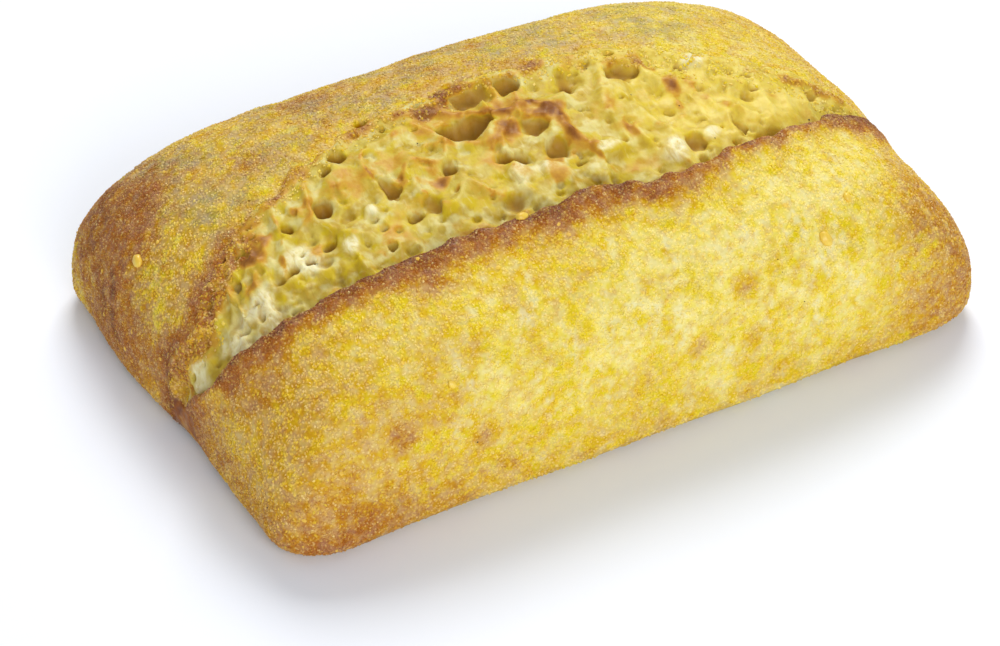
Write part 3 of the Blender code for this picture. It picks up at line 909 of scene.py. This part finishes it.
def meal_tree():
    """Scatters one grade of grains over a surface, by the weight that the surface keeps for it."""
    tree = bpy.data.node_groups.new("scattered meal", "GeometryNodeTree")
    kinds = {"Surface": "Geometry", "Torn surface": "Object", "Weight": "String", "Finish": "Material"}
    kinds.update(dict.fromkeys(("Grains per square metre", "Smallest", "Largest"), "Float"))
    kinds.update(dict.fromkeys(("Segments", "Rings", "Seed"), "Int"))
    for name, kind in kinds.items():
        tree.interface.new_socket(name, in_out="INPUT", socket_type="NodeSocket" + kind)
    tree.interface.new_socket("Grains", in_out="OUTPUT", socket_type="NodeSocketGeometry")
    given = add(tree, "NodeGroupInput").outputs
    seed = given["Seed"]
    torn = add(tree, "GeometryNodeObjectInfo", {"Object": given["Torn surface"]})
    both = add(tree, "GeometryNodeJoinGeometry")
    tree.links.new(given["Surface"], both.inputs[0])
    tree.links.new(torn.outputs["Geometry"], both.inputs[0])
    weight = add(tree, "GeometryNodeInputNamedAttribute", {"Name": given["Weight"]}, {"data_type": "FLOAT"})
    asked = {0: weight.outputs["Attribute"], 1: given["Grains per square metre"]}
    density = add(tree, "ShaderNodeMath", asked, TIMES).outputs[0]
    spots = {"Mesh": both.outputs[0], "Density": density, "Seed": seed}
    scatter = add(tree, "GeometryNodeDistributePointsOnFaces", spots).outputs

    # Each grain lies flat on the skin, tilted a little and turned at random.
    vector = {"data_type": "FLOAT_VECTOR"}
    angles = {0: (-0.45, -0.45, 0.0), 1: (0.45, 0.45, math.tau), "Seed": seed}
    tilt = add(tree, "FunctionNodeRandomValue", angles, vector).outputs[0]
    tilt = add(tree, "FunctionNodeEulerToRotation", {"Euler": tilt}).outputs[0]
    turns = {"Rotation": scatter["Rotation"], "Rotate By": tilt}
    turn = add(tree, "FunctionNodeRotateRotation", turns, {"rotation_space": "LOCAL"}).outputs[0]
    least, most = (
        add(tree, "ShaderNodeCombineXYZ", {axis: given[name] for axis in range(3)}).outputs[0]
        for name in ("Smallest", "Largest")
    )
    size = add(tree, "FunctionNodeRandomValue", {0: least, 1: most, "Seed": seed}, vector).outputs[0]
    flattened = {0: size, 1: (1.0, 1.0, 0.65)}
    size = add(tree, "ShaderNodeVectorMath", flattened, {"operation": "MULTIPLY"}).outputs[0]
    round_form = {"Segments": given["Segments"], "Rings": given["Rings"], "Radius": 0.5}
    grain = add(tree, "GeometryNodeMeshUVSphere", round_form).outputs["Mesh"]
    laying = {"Points": scatter["Points"], "Instance": grain, "Rotation": turn, "Scale": size}
    laid = add(tree, "GeometryNodeInstanceOnPoints", laying).outputs[0]
    tone = add(tree, "FunctionNodeRandomValue", {"Seed": seed}, {"data_type": "FLOAT"}).outputs[1]
    marks = {"Geometry": laid, "Name": "tone", "Value": tone}
    on_each = {"data_type": "FLOAT", "domain": "INSTANCE"}
    toned = add(tree, "GeometryNodeStoreNamedAttribute", marks, on_each)
    real = add(tree, "GeometryNodeRealizeInstances", {"Geometry": toned.outputs[0]})
    facets = {"Geometry": real.outputs[0], "Shade Smooth": False}
    flat = add(tree, "GeometryNodeSetShadeSmooth", facets)
    finish = {"Geometry": flat.outputs[0], "Material": given["Finish"]}
    finished = add(tree, "GeometryNodeSetMaterial", finish)
    add(tree, "NodeGroupOutput", {"Grains": finished.outputs[0]})
    return tree


def weighted_area(mesh, name):
    """The mesh's area in square metres, counted by the weight that it keeps under this name."""
    weights = gathered(mesh.attributes[name].data, "value", np.float32)
    corners = gathered(mesh.loops, "vertex_index", np.int32)
    starts = gathered(mesh.polygons, "loop_start", np.int32)
    sums = np.add.reduceat(weights[corners], starts)
    return (gathered(mesh.polygons, "area") * sums / np.diff(np.append(starts, len(corners)))).sum()


def meal_material(name, code, least, most):
    """Ground maize: hard, slightly glossy grains. Each took on some of the crust's colour as it baked."""
    material, tree, shader = new_material(name, {"Roughness": 0.5, "Specular IOR Level": 0.4})
    tone = add(tree, "ShaderNodeAttribute", None, {"attribute_name": "tone"}).outputs["Fac"]
    colour = tinted(tree, crust_colour(tree)[0], [(code, tone, (0.0, 1.0), (least, most), None)])
    tree.links.new(colour, shader.inputs["Base Color"])
    return material


# Each grade: its name, how many grains, the least and greatest length, the segments and rings of a grain,
# its own colour, and the least and greatest share of it over the crust's colour.
GRADES = (
    # The pale meal's light colour stands partly for real pale grains and partly for glints: painted
    # highlights.
    ("pale_meal", 24000, 0.0003, 0.00074, (4, 2), "#f8e092", 0.2, 0.55),
    ("yellow_meal", 24000, 0.00046, 0.00098, (4, 2), "#f0d436", 0.1, 0.5),
    ("golden_meal", 24000, 0.00036, 0.00084, (4, 2), "#e2be58", 0.1, 0.5),
    ("toasted_meal", 24000, 0.00034, 0.00078, (4, 2), "#a4662c", 0.0, 0.5),
    ("coarse_grits", 150, 0.0007, 0.0012, (5, 3), "#ecc44c", 0.6, 0.9),
    ("dark_specks", 45, 0.00025, 0.0005, (4, 2), "#2c1c10", 0.95, 1.0),
)
scatter_meal = meal_tree()
for seed, (grade, count, smallest, largest, roundness, code, least, most) in enumerate(GRADES):
    host = new_piece(grade + "_host", crust_mesh.copy())
    modifier = host.modifiers.new("meal", "NODES")
    modifier.node_group = scatter_meal
    area = weighted_area(crust_mesh, grade) + weighted_area(crumb_mesh, grade)
    wanted = {
        "Weight": grade,
        "Torn surface": crumb,
        "Grains per square metre": count / area,
        "Smallest": smallest,
        "Largest": largest,
        "Segments": roundness[0],
        "Rings": roundness[1],
        "Seed": seed,
        "Finish": meal_material(grade, code, least, most),
    }
    for item in scatter_meal.interface.items_tree:
        if item.name in wanted:
            modifier[item.identifier] = wanted[item.name]
    grains = new_piece(grade, plain_copy(host))
    bpy.data.objects.remove(host)
    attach(grains, "root")

# ---------- the whole grits
# The coarsest bits of maize kernel in the meal, hard and a little glassy. A few stuck to the dough as it
# was rolled. Each is an uneven, flattened ball, pressed onto the skin and turned its own way.
# x, y and z on the dough, then half the length and half the width.
WHOLE_GRITS = (
    (0.039, -0.0375, 0.029, 0.0015, 0.001),
    (-0.067, 0.018, 0.023, 0.0014, 0.001),
    (-0.013, -0.0225, 0.0415, 0.0013, 0.001),
    (0.046, -0.033, 0.033, 0.0009, 0.0007),
    (-0.036, -0.041, 0.027, 0.0008, 0.0006),
)
grit_form = bmesh.new()
for number, (*place, long, wide) in enumerate(WHOLE_GRITS):
    seat = crust_mesh.vertices[int(np.argmin(gap_to(crust_points, place)))]
    made = bmesh.ops.create_icosphere(grit_form, subdivisions=3, radius=1.0)["verts"]
    turn = seat.normal.to_track_quat("Z", "X").to_matrix() @ Matrix.Rotation(0.9 * number + 0.4, 3, "Z")
    for vertex in made:
        bulge = 1 + 0.22 * noise.noise(vertex.co * 1.3 + Vector((number, 5, 2)))
        flat = Vector((vertex.co.x * long, vertex.co.y * wide, vertex.co.z * wide * 0.8)) * bulge
        vertex.co = seat.co + turn @ flat + seat.normal * 0.0002
grit_mesh = bpy.data.meshes.new("whole_grits")
grit_form.to_mesh(grit_mesh)
grit_form.free()
grit_mesh.shade_smooth()
material, tree, shader = new_material("whole maize grit", {"Roughness": 0.35})
coords = add(tree, "ShaderNodeTexCoord").outputs["Object"]
cloud = add(tree, "ShaderNodeTexNoise", {"Vector": coords, "Scale": 700.0, "Detail": 3.0}).outputs["Fac"]
colour = tinted(tree, "#dca52c", [("#f2da58", cloud, (0.0, 1.0), (0.0, 1.0), None)])
tree.links.new(colour, shader.inputs["Base Color"])
grit_mesh.materials.append(material)
whole_grits = new_piece("whole_grits", grit_mesh)
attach(whole_grits, "root")

# ---------- floor, light and camera
# A plain pale sweep under two large soft boxes, as for a catalogue: one high behind the roll's right end,
# which lays its soft shadow to the front and left, and one low in front, which lights the front face.
FLOOR_SIZE = 2.0
half = FLOOR_SIZE / 2
floor_mesh = bpy.data.meshes.new("floor")
corners = [(-half, -half, 0), (half, -half, 0), (half, half, 0), (-half, half, 0)]
floor_mesh.from_pydata(corners, [], [(0, 1, 2, 3)])
floor = new_piece("floor", floor_mesh)
material, tree, shader = new_material("white card", {"Base Color": hex_colour("#f0f3f9"), "Roughness": 0.9})
floor_mesh.materials.append(material)

world = bpy.data.worlds.new("studio")
world.use_nodes = True
sky = world.node_tree.nodes["Background"].inputs
sky["Color"].default_value = (0.95, 0.98, 1.04, 1)
sky["Strength"].default_value = 0.4
bpy.context.scene.world = world


def soft_box(name, place, size, power):
    light = bpy.data.lights.new(name, "AREA")
    light.shape = "RECTANGLE"
    light.size, light.size_y = size
    light.energy = power
    lamp = new_piece(name, light)
    lamp.location = place
    lamp.rotation_euler = (Vector((0, 0, 0.02)) - Vector(place)).to_track_quat("-Z", "Y").to_euler()


soft_box("box behind", (0.35, 0.62, 0.85), (0.5, 0.5), 9.3)
soft_box("front fill", (-0.2, -1.08, 0.62), (0.8, 0.6), 9.3)

# The camera looks from the front left and above, with a long lens.
AZIMUTH, ELEVATION = math.radians(-26.8), math.radians(38.7)
DISTANCE = 0.8
FRAME_WIDTH = 0.1778  # metres across the picture at the roll
ASIDE, RAISED = 0.0051, 0.0173  # how far the roll's middle is from the picture's, to the right and up
level_back = math.cos(ELEVATION)
back = Vector((math.sin(AZIMUTH) * level_back, -math.cos(AZIMUTH) * level_back, math.sin(ELEVATION)))
right = Vector((math.cos(AZIMUTH), math.sin(AZIMUTH), 0))
up = back.cross(right)
aim = Vector((0, 0, 0.02)) - right * ASIDE - up * RAISED
camera_data = bpy.data.cameras.new("camera")
camera_data.sensor_width = 36
camera_data.lens = 36 * DISTANCE / FRAME_WIDTH
camera = new_piece("camera", camera_data)
camera.location = aim + back * DISTANCE
camera.rotation_euler = Matrix((right, up, back)).transposed().to_euler()
bpy.context.scene.camera = camera
bpy.context.scene.view_settings.view_transform = "Standard"
